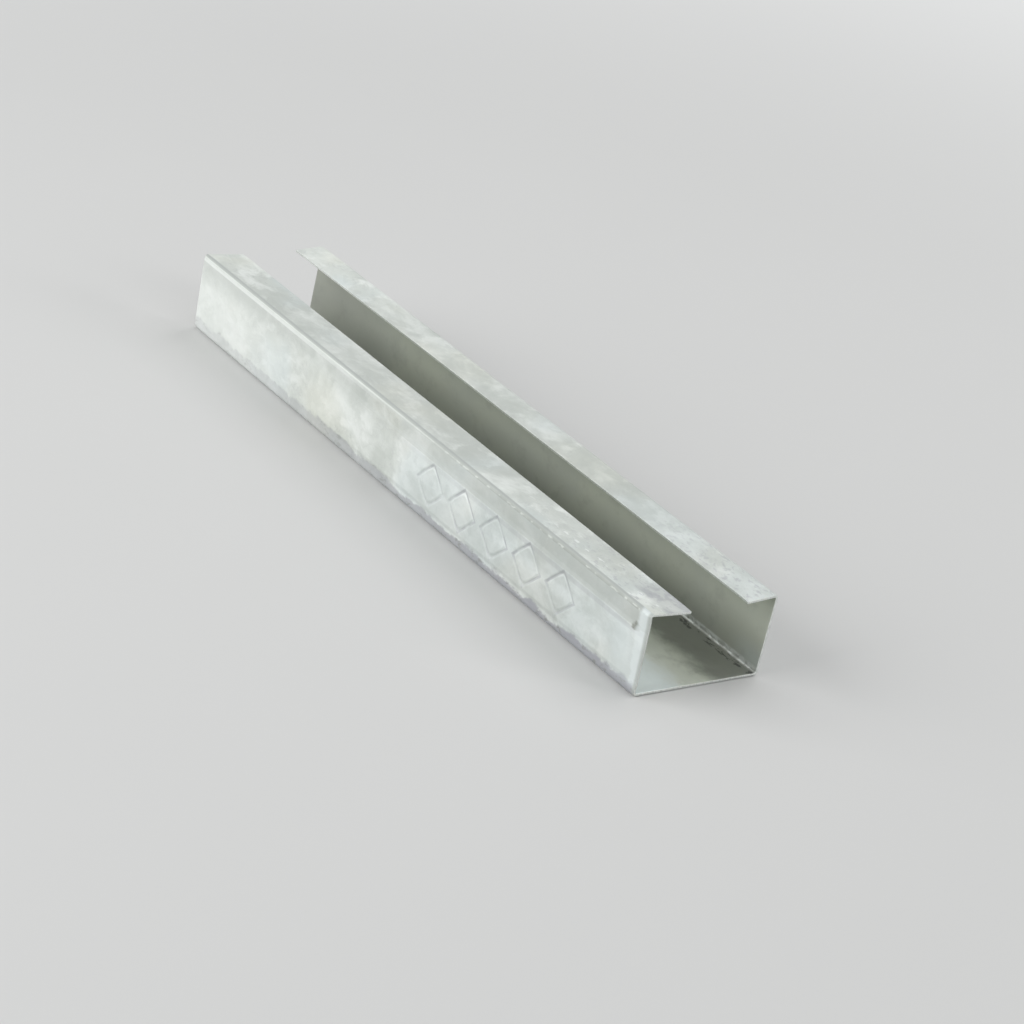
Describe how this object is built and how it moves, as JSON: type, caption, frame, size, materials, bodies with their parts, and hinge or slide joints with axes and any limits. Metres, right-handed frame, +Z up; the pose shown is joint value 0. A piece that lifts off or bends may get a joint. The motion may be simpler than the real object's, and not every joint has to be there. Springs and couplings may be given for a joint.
{
  "type": "lipped channel",
  "caption": "Roll-formed lipped channel of galvanised sheet steel, open along its top, with a shallow pressed band on its front flange; carries ceiling or wall lining boards.",
  "frame": {"origin": "under the middle of the web, on the face that the channel rests on", "axes": "+X along the piece, +Y from the front flange with the pressed band to the back flange, +Z up from the web to the lips"},
  "size_m": [0.27, 0.0514, 0.029],
  "materials": {
    "galvanised_steel": "matt hot-dip zinc coating, pale grey with soft clouds and faint rolling lines"
  },
  "bodies": {
    "root": {"channel": "galvanised_steel"}
  },
  "joints": []
}
